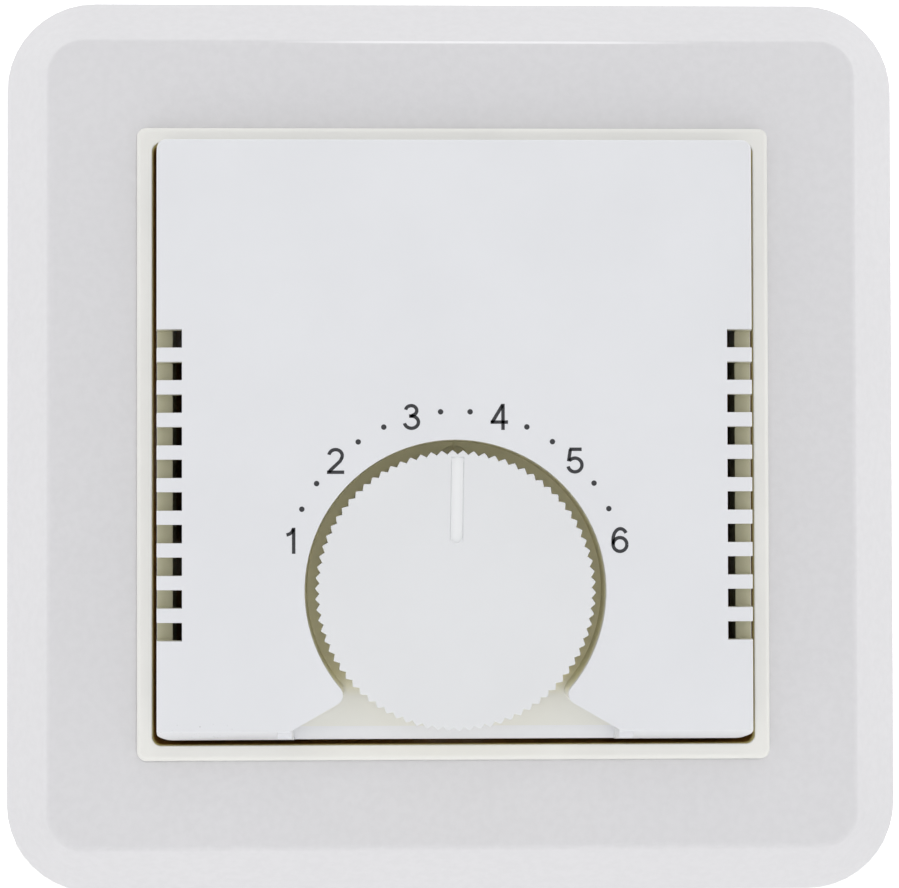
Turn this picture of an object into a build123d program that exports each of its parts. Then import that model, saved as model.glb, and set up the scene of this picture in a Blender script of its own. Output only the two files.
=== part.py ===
# Flush-mounted room thermostat with a turn knob, modelled as the separate pieces it is built from.
# Origin at the centre of the wall surface, +Z up, +X to the right, front facing -Y.
# A height is the distance out of the wall; a negative height lies inside the flush box.
from build123d import *
import os
from math import atan2, cos, degrees, radians, sin, tan

# ---- Clearances --------------------------------------------------------------------------
running_gap = 0.04        # radial, between a shaft and its bearing
fit_gap = 0.02            # radial, between pieces that are pressed or threaded together
trim_gap = 0.15           # between trim pieces that drop into one another
free_gap = 0.3            # between pieces that move past one another

# ---- Outer frame -------------------------------------------------------------------------
frame_size = 80.5
frame_corner = 8.0
frame_edge_height = 2.6
frame_height = 8.0
frame_bevel_width = 4.8
frame_ridge_corner = 3.0
frame_ridge_round = 0.35
frame_wall = 1.6
frame_aperture_round = 0.2
frame_collar_wall = 1.3
frame_lip_height = 4.7
frame_lip_thickness = 1.3
frame_lip_overlap = 0.4
frame_rib_spacing = 38.0
frame_rib_width = 1.2
frame_rib_foot = 1.7

# ---- Adapter ring ------------------------------------------------------------------------
ring_corner = 0.8
ring_height = 10.0
ring_border = 1.35
ring_edge_round = 0.5
ring_band_depth = 0.9
ring_leg_length = 13.5
ring_leg_foot = 1.5
ring_ledge_thickness = 1.2
ring_ledge_width = 2.0
ring_side_gap = 1.0       # beside, above and below the cover in the ring's opening
ring_upper_gap = 0.61
ring_lower_gap = 0.5

# ---- Cover -------------------------------------------------------------------------------
cover_width = 50.3
cover_corner = 0.8
cover_height = 14.5
cover_wall = 1.05
cover_face_thickness = 1.5
cover_edge_round = 0.3
cover_lower_wall = 1.6
cover_slope_reach = 1.25  # of the sloping front of the lower wall, from the wall's outside
cover_seat_gap = 0.1
cover_flare = 0.3         # of each side, from the face out to the shoulder
cover_shoulder_drop = 2.2 # of the shoulder below the face
recess_rim_gap = 0.89     # radial, round the knob
recess_depth = 4.4
recess_wall = 1.2
recess_corner_round = 0.85
notch_half_width = 13.87
notch_angle = 30.0
notch_lip_width = 1.15
notch_lip_drop = 0.4
pocket_radius = 1.27
pocket_offset = 11.15
pocket_depth = 0.35
pocket_rib_width = 0.18
pocket_rib_length = 0.65
pocket_rib_rise = 0.1
vent_count = 10
vent_pitch = 2.75
vent_height = 1.56
vent_reach = 2.11
vent_depth = 2.4
vent_first_top = 9.49
stop_lug_width = 1.3

# ---- Knob and what turns with it ---------------------------------------------------------
knob_radius = 11.86
knob_rim_rise = 1.18      # of the knob's lowest point above the cover's lower edge
knob_teeth = 82
knob_tooth_depth = 0.34
knob_setting = 1.0        # degrees clockwise of the middle that the pointer is set to
knob_skirt_wall = 1.5
knob_cap_thickness = 1.5
knob_sleeve_radius = 7.2
knob_sleeve_wall = 1.0
knob_hub_radius = 4.0
knob_hub_foot = 7.0
pointer_width = 1.06
pointer_inner = 4.04
pointer_outer = 11.37
pointer_depth = 0.25
knob_swing = 75.0
limit_ring_thickness = 0.95
limit_ring_width = 2.0
limit_tab_angle = 85.0
limit_tab_width = 1.3
spindle_radius = 3.0
spindle_flat = 2.4
spindle_foot = -5.4
bush_wall = 1.2
bush_flange_radius = 5.4
bush_flange_thickness = 0.4
bush_foot = -4.4
clip_radius = 4.4
clip_thickness = 0.6
clip_groove_depth = 0.5

# ---- Cam and setting lever ---------------------------------------------------------------
cam_thickness = 1.6
cam_radius = 6.2
cam_rise = 0.366          # change of radius over the knob's swing to one side
cam_run_out = 12.0        # degrees that the rise runs on past the swing
nose_gap = 0.16
lever_pivot_x = -18.5
lever_thickness = 1.6
lever_bar_width = 2.4
lever_end_x = 16.6
lever_boss_radius = 2.6
lever_nose_radius = 0.9
lever_nose_reach = 0.49
lever_post_x = 6.2
lever_post_z = 2.2
lever_post_wall = 1.2
lever_post_height = 10.2
pivot_radius = 1.2
pivot_head_radius = 2.0
pivot_head_thickness = 0.8
pivot_foot = -0.5
spring_post_x = -10.0
spring_post_size = 2.4
spring_thickness = 0.3
spring_tip_x = 4.0
spring_tip_gap = 0.75

# ---- Bimetal switch ----------------------------------------------------------------------
bimetal_z = 6.0
bimetal_thickness = 0.8
bimetal_low = 5.4
bimetal_width = 4.4
bimetal_end_x = 15.5
contact_x = 13.5
contact_radius = 1.5
contact_thickness = 1.0
contact_gap = 1.2
magnet_x = 8.6
magnet_length = 4.0
armature_thickness = 0.4
bracket_low_x = -21.2
bracket_high_x = -17.0
bracket_half_height = 2.4
bracket_height = 10.6
bracket_slot_gap = 0.1
bracket_arm_thickness = 1.2
bracket_arm_end_x = -10.4
adjuster_x = -12.4
adjuster_radius = 1.0
adjuster_head_radius = 1.7
adjuster_head_thickness = 1.3

# ---- Base, terminals and rear cover ------------------------------------------------------
base_radius = 25.5
base_wall = 1.5
base_depth = 20.0
base_flat_z = 20.5
flange_size = 46.0
flange_corner = 2.0
flange_thickness = 1.8
boss_wall = 1.4
terminal_count = 4
terminal_spacing = 8.0
terminal_size = 6.0
terminal_z = 15.0
terminal_length = 9.0
terminal_foot = -18.0
conductor_radius = 1.5
terminal_screw_radius = 1.3
terminal_head_radius = 2.3
terminal_head_thickness = 1.7
terminal_screw_height = -13.5
strip_thickness = 0.6
strip_width = 3.0
strip_bottom_z = 9.2
resistor_radius = 1.2
resistor_length = 6.4
resistor_lead_radius = 0.35
resistor_height = 6.2
rear_thickness = 1.5
rear_screw_x = 16.0
rear_screw_drop = 14.0
small_screw_radius = 1.3
small_head_radius = 2.3
small_head_thickness = 1.4
small_slot_width = 0.6
small_slot_depth = 0.7
rear_screw_length = 8.0

# ---- Cover screw -------------------------------------------------------------------------
cover_screw_offset = 8.8
cover_screw_angle = 180.0
cover_screw_length = 8.5
well_seat_drop = 3.2
well_floor_thickness = 1.2

# ---- Support plate -----------------------------------------------------------------------
plate_size = 71.0
plate_corner = 4.0
plate_thickness = 1.2
box_screw_spacing = 60.0
box_screw_radius = 2.1
box_slot_length = 4.0
rivet_offset = 20.3
rivet_radius = 1.3
rivet_head_radius = 1.9
rivet_head_thickness = 0.8
rivet_sink_angle = 45.0

# ---- Derived sizes -----------------------------------------------------------------------
frame_ridge = frame_size - 2 * frame_bevel_width
ring_opening = cover_width + 2 * ring_side_gap
ring_size = ring_opening + 2 * ring_border
frame_aperture = ring_size + 2 * trim_gap
frame_lip_opening = ring_size - 2 * frame_lip_overlap
frame_lip_top = frame_lip_height + frame_lip_thickness
ring_lower_size = frame_lip_opening - 2 * trim_gap
ring_band_foot = frame_lip_top - ring_band_depth
ring_leg_gap = ring_lower_size - 2 * ring_leg_length
ring_ledge_top = ring_leg_foot + ring_ledge_thickness
ring_ledge_opening = cover_width - 2 * ring_ledge_width
cover_foot = ring_ledge_top + cover_seat_gap
cover_top_z = ring_opening / 2 - ring_upper_gap
cover_bottom_z = ring_lower_gap - ring_opening / 2
cover_length = cover_top_z - cover_bottom_z
cover_mid_z = (cover_top_z + cover_bottom_z) / 2
cover_shoulder = cover_height - cover_shoulder_drop
cover_flare_angle = degrees(atan2(cover_flare, cover_shoulder_drop))
vent_middle_x = (cover_width - vent_reach) / 2 + cover_flare
cavity_length = cover_length - cover_wall - cover_lower_wall
cavity_mid_z = cover_mid_z + (cover_lower_wall - cover_wall) / 2
face_back = cover_height - cover_face_thickness
recess_floor = cover_height - recess_depth
recess_back = recess_floor - cover_face_thickness
recess_radius = knob_radius + recess_rim_gap
knob_z = cover_bottom_z + knob_rim_rise + knob_radius
flange_front = plate_thickness + flange_thickness
knob_foot = recess_floor + free_gap
cap_back = cover_height - knob_cap_thickness
skirt_inner = knob_radius - knob_tooth_depth - knob_skirt_wall
ring_inner = knob_sleeve_radius + running_gap
ring_outer = ring_inner + limit_ring_width
lug_outer = skirt_inner - free_gap / 2
lug_inner = ring_outer + free_gap / 2
lever_foot = flange_front + bush_flange_thickness + free_gap
lever_top = lever_foot + lever_thickness
nose_foot_z = knob_z + cam_radius + nose_gap
lever_bar_z = nose_foot_z + lever_nose_reach
lever_pivot_z = lever_bar_z + lever_bar_width / 4
well_seat = recess_floor - well_seat_drop
well_foot = well_seat - well_floor_thickness
screw_boss_top = lever_foot - free_gap
cover_screw_x = cover_screw_offset * cos(radians(cover_screw_angle))
cover_screw_z = knob_z + cover_screw_offset * sin(radians(cover_screw_angle))
bimetal_under = bimetal_z - bimetal_thickness / 2
fixed_contact_top = bimetal_under - contact_thickness - contact_gap
magnet_top = bimetal_under - armature_thickness - contact_gap
bimetal_middle = bimetal_low + bimetal_width / 2
terminal_xs = [(i - (terminal_count - 1) / 2) * terminal_spacing for i in range(terminal_count)]
terminal_low_z = terminal_z - terminal_size / 2
terminal_top_z = terminal_z + terminal_size / 2
rear_z = -rear_screw_drop
rivet_places = [(x * rivet_offset, z * rivet_offset) for x in (-1, 1) for z in (-1, 1)]


def front(height):
    """Plane parallel to the wall at a height above it, with its normal out of the wall."""
    return Plane(origin=(0, -height, 0), x_dir=(1, 0, 0), z_dir=(0, -1, 0))


def polar(radius, clockwise_from_top):
    """Point on a circle about the sketch origin, by its clockwise angle from the top."""
    angle = radians(clockwise_from_top)
    return (radius * sin(angle), radius * cos(angle))


def save(piece, name):
    """Name a finished piece and write it out."""
    piece.part.label = name
    export_step(piece.part, f"parts/{name}.step")


os.makedirs("parts", exist_ok=True)

# ---- Outer frame: hollow shell with a bevelled border, a collar and a lip for the ring ---
rib_planes = [
    Plane.XY.rotated((0, 90 * side, 0)).offset(sign * frame_rib_spacing / 2)
    for side in range(4)
    for sign in (-1, 1)
]
collar_outer = frame_aperture + 2 * frame_collar_wall
shell_inner = frame_size - 2 * frame_wall
shell_ridge = frame_ridge - 2 * frame_wall
rib_inner_x = collar_outer / 2 - frame_collar_wall / 2
rib_outer_x = shell_inner / 2 + frame_wall / 2

with BuildPart() as outer_frame:
    with BuildSketch(front(0)):
        RectangleRounded(frame_size, frame_size, frame_corner)
    extrude(amount=frame_edge_height)
    with BuildSketch(front(frame_edge_height)):
        RectangleRounded(frame_size, frame_size, frame_corner)
    with BuildSketch(front(frame_height)):
        RectangleRounded(frame_ridge, frame_ridge, frame_ridge_corner)
    loft()
    fillet(outer_frame.faces().sort_by(Axis.Y)[0].edges(), frame_ridge_round)
    with BuildSketch(front(0)):
        RectangleRounded(shell_inner, shell_inner, frame_corner - frame_wall)
    extrude(amount=frame_edge_height, mode=Mode.SUBTRACT)
    with BuildSketch(front(frame_edge_height)):
        RectangleRounded(shell_inner, shell_inner, frame_corner - frame_wall)
    with BuildSketch(front(frame_height - frame_wall)):
        RectangleRounded(shell_ridge, shell_ridge, frame_ridge_corner - frame_wall)
    loft(mode=Mode.SUBTRACT)
    with BuildSketch(front(frame_lip_height)):
        RectangleRounded(collar_outer, collar_outer, ring_corner + frame_collar_wall)
    extrude(amount=frame_height - frame_wall / 2 - frame_lip_height)
    with BuildSketch(*rib_planes):
        with BuildLine():
            Polyline(
                (rib_inner_x, -frame_lip_height - frame_wall / 2),
                (rib_inner_x, -frame_height + frame_wall / 2),
                (shell_ridge / 2, -frame_height + frame_wall / 2),
                (rib_outer_x, -frame_edge_height),
                (rib_outer_x, -frame_rib_foot),
                (plate_size / 2 + free_gap, -frame_rib_foot),
                close=True,
            )
        make_face()
    extrude(amount=frame_rib_width / 2, both=True)
    with BuildSketch(front(0)):
        RectangleRounded(frame_lip_opening, frame_lip_opening, ring_corner)
    extrude(amount=frame_height, mode=Mode.SUBTRACT)
    with BuildSketch(front(frame_lip_top)):
        RectangleRounded(frame_aperture, frame_aperture, ring_corner + trim_gap)
    extrude(amount=frame_height - frame_lip_top, mode=Mode.SUBTRACT)
    aperture_rim = outer_frame.faces().sort_by(Axis.Y)[0].inner_wires()[0]
    fillet(aperture_rim.edges(), frame_aperture_round)
save(outer_frame, "outer_frame")

# ---- Adapter ring: square trim that stands on the frame's lip, with four corner legs -----
with BuildPart() as adapter_ring:
    with BuildSketch(front(frame_lip_top)):
        RectangleRounded(ring_size, ring_size, ring_corner)
    extrude(amount=ring_height - frame_lip_top)
    fillet(adapter_ring.faces().sort_by(Axis.Y)[0].edges(), ring_edge_round)
    with BuildSketch(front(ring_band_foot)):
        RectangleRounded(ring_lower_size, ring_lower_size, ring_corner)
    extrude(amount=ring_band_depth)
    with BuildSketch(front(ring_leg_foot)):
        RectangleRounded(ring_lower_size, ring_lower_size, ring_corner)
        Rectangle(ring_leg_gap, ring_size, mode=Mode.SUBTRACT)
        Rectangle(ring_size, ring_leg_gap, mode=Mode.SUBTRACT)
    extrude(amount=ring_band_foot - ring_leg_foot)
    with BuildSketch(front(ring_leg_foot)):
        RectangleRounded(ring_ledge_opening, ring_ledge_opening, cover_corner)
    extrude(amount=ring_ledge_thickness, mode=Mode.SUBTRACT)
    with BuildSketch(front(ring_ledge_top)):
        RectangleRounded(ring_opening, ring_opening, cover_corner)
    extrude(amount=ring_height - ring_ledge_top, mode=Mode.SUBTRACT)
save(adapter_ring, "adapter_ring")

# ---- Cover: open-backed shell with a knob recess, a thumb notch and rows of side vents ---
face_bottom_z = cover_bottom_z + cover_slope_reach
notch_apex_z = face_bottom_z + notch_half_width * tan(radians(notch_angle))
notch_base_z = cover_bottom_z - cover_corner
recess_points = [
    (0, notch_apex_z),
    (notch_half_width, face_bottom_z),
    (notch_half_width, notch_base_z),
    (-notch_half_width, notch_base_z),
    (-notch_half_width, face_bottom_z),
]
vent_places = [
    (side * vent_middle_x, vent_first_top - vent_height / 2 - i * vent_pitch)
    for side in (-1, 1)
    for i in range(vent_count)
]

with BuildSketch() as recess_outline:
    with Locations((0, knob_z)):
        Circle(recess_radius)
    Polygon(*recess_points, align=None)
    recess_corners = recess_outline.vertices().filter_by_position(
        Axis.Y, face_bottom_z + recess_corner_round, knob_z
    )
    fillet(recess_corners, recess_corner_round)

with BuildSketch() as bowl_outline:
    add(recess_outline.sketch)
    offset(amount=recess_wall)
    with Locations((0, cover_mid_z)):
        Rectangle(cover_width - cover_wall, cover_length - cover_wall, mode=Mode.INTERSECT)

with BuildPart() as notch_lip_cut:
    with BuildSketch(front(recess_floor - notch_lip_drop)):
        add(recess_outline.sketch)
    extrude(amount=2 * notch_lip_drop)
    with BuildSketch(Plane.YZ):
        with BuildLine():
            Polyline(
                (-recess_floor, cover_bottom_z + notch_lip_width),
                (notch_lip_drop - recess_floor, cover_bottom_z),
                (notch_lip_drop - recess_floor, notch_base_z),
                (-recess_floor, notch_base_z),
                close=True,
            )
        make_face()
    extrude(amount=cover_width / 2, both=True, mode=Mode.INTERSECT)

with BuildSketch() as shoulder_outline:
    with Locations((0, cover_mid_z + cover_flare / 2)):
        RectangleRounded(
            cover_width + 2 * cover_flare, cover_length + cover_flare, cover_corner + cover_flare
        )

with BuildPart() as cover:
    with BuildSketch(front(cover_foot)):
        add(shoulder_outline.sketch)
    extrude(amount=cover_shoulder - cover_foot)
    with BuildSketch(front(cover_shoulder)):
        add(shoulder_outline.sketch)
    extrude(amount=cover_shoulder_drop, taper=cover_flare_angle)
    with BuildSketch(Plane.YZ):
        with BuildLine():
            Polyline(
                (-cover_height, face_bottom_z),
                (-recess_floor, cover_bottom_z),
                (-recess_floor, notch_base_z),
                (-cover_height, notch_base_z),
                close=True,
            )
        make_face()
    extrude(amount=cover_width, both=True, mode=Mode.SUBTRACT)
    face_edges = cover.faces().sort_by(Axis.Y)[0].edges().sort_by(Axis.Z)
    fillet(face_edges[-1], cover_edge_round)
    with BuildSketch(front(cover_foot)):
        with Locations((0, cavity_mid_z)):
            RectangleRounded(cover_width - 2 * cover_wall, cavity_length, cover_corner / 2)
    extrude(amount=face_back - cover_foot, mode=Mode.SUBTRACT)
    with BuildSketch(front(recess_back)):
        add(bowl_outline.sketch)
    extrude(amount=cover_height - recess_back - cover_face_thickness / 2)
    with BuildSketch(front(well_foot)):
        with Locations((cover_screw_x, cover_screw_z)):
            Circle(small_head_radius + free_gap + cover_wall)
    extrude(amount=recess_floor - well_foot)
    with BuildSketch(front(recess_floor)):
        add(recess_outline.sketch)
    extrude(amount=recess_depth, mode=Mode.SUBTRACT)
    add(notch_lip_cut.part, mode=Mode.SUBTRACT)
    with BuildSketch(front(recess_floor - pocket_depth)):
        with Locations((0, knob_z + pocket_offset)):
            Circle(pocket_radius)
    extrude(amount=pocket_depth, mode=Mode.SUBTRACT)
    with BuildSketch(front(recess_floor - pocket_depth)):
        with Locations((0, knob_z + recess_radius - pocket_rib_length / 2)):
            Rectangle(pocket_rib_width, pocket_rib_length)
    extrude(amount=pocket_depth + pocket_rib_rise)
    with BuildSketch(front(recess_back)):
        with Locations((0, knob_z)):
            Circle(knob_hub_radius + free_gap)
    extrude(amount=cover_face_thickness, mode=Mode.SUBTRACT)
    with BuildSketch(front(well_seat)):
        with Locations((cover_screw_x, cover_screw_z)):
            Circle(small_head_radius + free_gap)
    extrude(amount=well_seat_drop, mode=Mode.SUBTRACT)
    with BuildSketch(front(well_foot)):
        with Locations((cover_screw_x, cover_screw_z)):
            Circle(small_screw_radius + trim_gap)
    extrude(amount=well_floor_thickness, mode=Mode.SUBTRACT)
    with BuildSketch(front(recess_floor)):
        with Locations((0, knob_z + (lug_inner + lug_outer) / 2)):
            Rectangle(stop_lug_width, lug_outer - lug_inner)
    extrude(amount=cap_back - free_gap - recess_floor)
    with BuildSketch(front(cover_height - vent_depth)):
        with Locations(*vent_places):
            Rectangle(vent_reach + 2 * cover_flare, vent_height)
    extrude(amount=vent_depth, mode=Mode.SUBTRACT)
save(cover, "cover")

# ---- Knob: toothed cap with a skirt, a sleeve for the limit rings and a hub with a D bore -
tooth_step = 180 / knob_teeth
tooth_radii = (knob_radius - knob_tooth_depth, knob_radius)
tooth_points = [
    polar(tooth_radii[i % 2], knob_setting + i * tooth_step) for i in range(2 * knob_teeth)
]
pointer_length = pointer_outer - pointer_inner
pointer_middle = pointer_inner + pointer_length / 2


def d_section(radius, flat):
    """Round section with a flat at the bottom, at a distance from the axis."""
    with BuildSketch(mode=Mode.PRIVATE) as section:
        Circle(radius)
        with Locations((0, -flat - radius)):
            Rectangle(2 * radius, 2 * radius, mode=Mode.SUBTRACT)
    return section.sketch


def knob_front(height):
    """Plane on the knob's axis at a height above the wall."""
    return Plane(origin=(0, -height, knob_z), x_dir=(1, 0, 0), z_dir=(0, -1, 0))


with BuildPart() as knob:
    with BuildSketch(knob_front(knob_foot)):
        with BuildLine():
            Polyline(*tooth_points, close=True)
        make_face()
    extrude(amount=cover_height - knob_foot)
    with BuildSketch(knob_front(knob_foot)):
        Circle(skirt_inner)
        Circle(knob_sleeve_radius, mode=Mode.SUBTRACT)
        Circle(knob_sleeve_radius - knob_sleeve_wall)
    extrude(amount=cap_back - knob_foot, mode=Mode.SUBTRACT)
    with BuildSketch(knob_front(knob_hub_foot)):
        Circle(knob_hub_radius)
    extrude(amount=cap_back - knob_hub_foot)
    with BuildSketch(knob_front(knob_hub_foot)):
        add(d_section(spindle_radius + fit_gap, spindle_flat + fit_gap))
    extrude(amount=cap_back - knob_hub_foot, mode=Mode.SUBTRACT)
    with BuildSketch(knob_front(cover_height - pointer_depth)):
        with Locations(polar(pointer_middle, knob_setting)):
            SlotOverall(pointer_length, pointer_width, rotation=90 - knob_setting)
        with Locations(polar(pointer_outer - pointer_width / 2, knob_setting)):
            Rectangle(pointer_width, pointer_width, rotation=-knob_setting)
    extrude(amount=pointer_depth, mode=Mode.SUBTRACT)
save(knob, "knob")

# ---- Limit rings: two rings on the knob's sleeve, each with a tab that meets the stop lug -
ring_feet = {
    "lower_limit_ring": knob_foot + free_gap / 2,
    "upper_limit_ring": cap_back - free_gap / 2 - limit_ring_thickness,
}
tab_sides = {"lower_limit_ring": 1, "upper_limit_ring": -1}
tab_radial = lug_outer - ring_outer
for ring_name, ring_foot in ring_feet.items():
    with BuildPart() as limit_ring:
        with BuildSketch(knob_front(ring_foot)):
            Circle(ring_outer)
            with Locations(polar(ring_outer, tab_sides[ring_name] * limit_tab_angle)):
                Rectangle(2 * tab_radial, limit_tab_width)
            Circle(ring_inner, mode=Mode.SUBTRACT)
        extrude(amount=limit_ring_thickness)
    save(limit_ring, ring_name)

# ---- Spindle, its bush in the base, the cam and the clip that holds them -----------------
groove_top = bush_foot - running_gap
groove_foot = groove_top - clip_thickness
cam_foot = lever_foot
cam_slope = cam_rise / knob_swing
cam_reach = int(knob_swing + cam_run_out)
cam_angles = [step * cam_reach / 6 for step in range(-6, 7)]
cam_points = [polar(cam_radius - cam_slope * angle, angle) for angle in cam_angles]
cam_back_radius = cam_radius - cam_slope * cam_reach

with BuildPart() as spindle:
    with BuildSketch(knob_front(spindle_foot)):
        Circle(spindle_radius)
    extrude(amount=cam_foot - spindle_foot)
    with BuildSketch(knob_front(cam_foot)):
        add(d_section(spindle_radius, spindle_flat))
    extrude(amount=cap_back - free_gap - cam_foot)
    with BuildSketch(knob_front(groove_foot - fit_gap)):
        Circle(spindle_radius)
        Circle(spindle_radius - clip_groove_depth, mode=Mode.SUBTRACT)
    extrude(amount=clip_thickness + 2 * fit_gap, mode=Mode.SUBTRACT)
save(spindle, "spindle")

with BuildPart() as spindle_bush:
    with BuildSketch(knob_front(bush_foot)):
        Circle(spindle_radius + running_gap + bush_wall)
    extrude(amount=flange_front - bush_foot)
    with BuildSketch(knob_front(flange_front)):
        Circle(bush_flange_radius)
    extrude(amount=bush_flange_thickness)
    with BuildSketch(knob_front(bush_foot)):
        Circle(spindle_radius + running_gap)
    extrude(amount=flange_front + bush_flange_thickness - bush_foot, mode=Mode.SUBTRACT)
save(spindle_bush, "spindle_bush")

with BuildPart() as retaining_clip:
    with BuildSketch(knob_front(groove_foot)):
        Circle(clip_radius)
        Circle(spindle_radius - clip_groove_depth + fit_gap, mode=Mode.SUBTRACT)
        with Locations((0, -clip_radius)):
            Rectangle(spindle_radius, 2 * clip_radius, mode=Mode.SUBTRACT)
    extrude(amount=clip_thickness)
save(retaining_clip, "retaining_clip")

with BuildPart() as cam_disc:
    with BuildSketch(knob_front(cam_foot)):
        with BuildLine():
            Spline(*cam_points)
            Line(cam_points[-1], polar(cam_back_radius, cam_reach + cam_run_out))
            ThreePointArc(
                polar(cam_back_radius, cam_reach + cam_run_out),
                (0, -cam_back_radius),
                polar(cam_back_radius, -cam_reach - cam_run_out),
            )
            Line(polar(cam_back_radius, -cam_reach - cam_run_out), cam_points[0])
        make_face()
        add(d_section(spindle_radius + fit_gap, spindle_flat + fit_gap), mode=Mode.SUBTRACT)
    extrude(amount=cam_thickness)
save(cam_disc, "cam_disc")

# ---- Setting lever: pivoted bar with a nose on the cam and an upturned contact post ------
bar_top_z = lever_bar_z + lever_bar_width
post_top_z = lever_post_z
post_foot_z = lever_post_z - lever_post_wall

with BuildPart() as setting_lever:
    with BuildSketch(front(lever_foot)):
        with Locations((lever_pivot_x, lever_pivot_z)):
            Circle(lever_boss_radius)
        with Locations(((lever_pivot_x + lever_end_x) / 2, bar_top_z - lever_bar_width / 2)):
            Rectangle(lever_end_x - lever_pivot_x, lever_bar_width)
        with Locations((0, nose_foot_z + lever_nose_radius)):
            Circle(lever_nose_radius)
        with Locations(((lever_post_x + lever_end_x) / 2, (post_top_z + bar_top_z) / 2)):
            Rectangle(lever_end_x - lever_post_x, post_top_z - bar_top_z)
        with Locations((lever_pivot_x, lever_pivot_z)):
            Circle(pivot_radius + running_gap, mode=Mode.SUBTRACT)
    extrude(amount=lever_thickness)
    with BuildSketch(front(lever_top)):
        with Locations(((lever_post_x + lever_end_x) / 2, (post_top_z + post_foot_z) / 2)):
            Rectangle(lever_end_x - lever_post_x, lever_post_wall)
    extrude(amount=lever_post_height - lever_top)
save(setting_lever, "setting_lever")

with BuildPart() as lever_pivot_pin:
    with BuildSketch(front(pivot_foot)):
        with Locations((lever_pivot_x, lever_pivot_z)):
            Circle(pivot_radius)
    extrude(amount=lever_top + running_gap - pivot_foot)
    with BuildSketch(front(lever_top + running_gap)):
        with Locations((lever_pivot_x, lever_pivot_z)):
            Circle(pivot_head_radius)
    extrude(amount=pivot_head_thickness)
save(lever_pivot_pin, "lever_pivot_pin")

spring_post_z = bar_top_z + free_gap + spring_post_size
spring_root = (spring_post_x + spring_post_size / 2, spring_post_z)
spring_tip = (spring_tip_x, bar_top_z + spring_tip_gap + spring_thickness)
with BuildPart() as lever_spring:
    with BuildSketch(front(flange_front)):
        with Locations((spring_post_x, spring_post_z)):
            Rectangle(spring_post_size, spring_post_size)
    extrude(amount=lever_top - flange_front)
    with BuildSketch(front(lever_foot)):
        with BuildLine():
            Polyline(
                spring_root,
                spring_tip,
                (spring_tip[0], spring_tip[1] - spring_thickness),
                (spring_root[0], spring_root[1] - spring_thickness),
                close=True,
            )
        make_face()
    extrude(amount=lever_thickness)
save(lever_spring, "lever_spring")

# ---- Contacts, magnet and bimetal strip --------------------------------------------------
with BuildPart() as fixed_contact:
    with BuildSketch(Plane.XY.offset(lever_post_z)):
        with Locations((contact_x, -bimetal_middle)):
            Circle(contact_radius)
    extrude(amount=fixed_contact_top - lever_post_z)
save(fixed_contact, "fixed_contact")

with BuildPart() as magnet:
    with BuildSketch(Plane.XY.offset(lever_post_z)):
        with Locations((magnet_x, -bimetal_middle)):
            Rectangle(magnet_length, bimetal_width)
    extrude(amount=magnet_top - lever_post_z)
save(magnet, "magnet")

strip_low_x = bracket_low_x + bracket_arm_thickness
with BuildPart() as bimetal_strip:
    with BuildSketch(Plane.XY.offset(bimetal_under)):
        with Locations(((strip_low_x + bimetal_end_x) / 2, -bimetal_middle)):
            RectangleRounded(bimetal_end_x - strip_low_x, bimetal_width, bimetal_width / 4)
    extrude(amount=bimetal_thickness)
save(bimetal_strip, "bimetal_strip")

with BuildPart() as moving_contact:
    with BuildSketch(Plane.XY.offset(bimetal_under - contact_thickness)):
        with Locations((contact_x, -bimetal_middle)):
            Circle(contact_radius)
    extrude(amount=contact_thickness)
save(moving_contact, "moving_contact")

with BuildPart() as armature:
    with BuildSketch(Plane.XY.offset(bimetal_under - armature_thickness)):
        with Locations((magnet_x, -bimetal_middle)):
            Rectangle(magnet_length, bimetal_width)
    extrude(amount=armature_thickness)
save(armature, "armature")

# ---- Bracket that holds the bimetal's end, and the screw that sets it --------------------
bracket_top_z = bimetal_z + bracket_half_height
bracket_mid_x = (bracket_low_x + bracket_high_x) / 2
slot_foot_x = strip_low_x - bracket_slot_gap
arm_length = bracket_arm_end_x - bracket_high_x

with BuildPart() as bimetal_bracket:
    with BuildSketch(front(flange_front)):
        with Locations((bracket_mid_x, bimetal_z)):
            Rectangle(bracket_high_x - bracket_low_x, 2 * bracket_half_height)
    extrude(amount=bracket_height - flange_front)
    with BuildSketch(front(bimetal_low - free_gap)):
        with Locations(((bracket_high_x + slot_foot_x) / 2, bimetal_z)):
            Rectangle(
                bracket_high_x - slot_foot_x,
                bimetal_thickness + 2 * bracket_slot_gap,
            )
    extrude(amount=bracket_height - bimetal_low + free_gap, mode=Mode.SUBTRACT)
    with BuildSketch(Plane.XY.offset(bracket_top_z - bracket_arm_thickness)):
        with Locations((bracket_high_x + arm_length / 2, -bimetal_middle)):
            Rectangle(arm_length, bimetal_width)
    extrude(amount=bracket_arm_thickness)
    with BuildSketch(Plane.XY.offset(bracket_top_z - bracket_arm_thickness)):
        with Locations((adjuster_x, -bimetal_middle)):
            Circle(adjuster_radius + fit_gap)
    extrude(amount=bracket_arm_thickness, mode=Mode.SUBTRACT)
save(bimetal_bracket, "bimetal_bracket")

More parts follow.
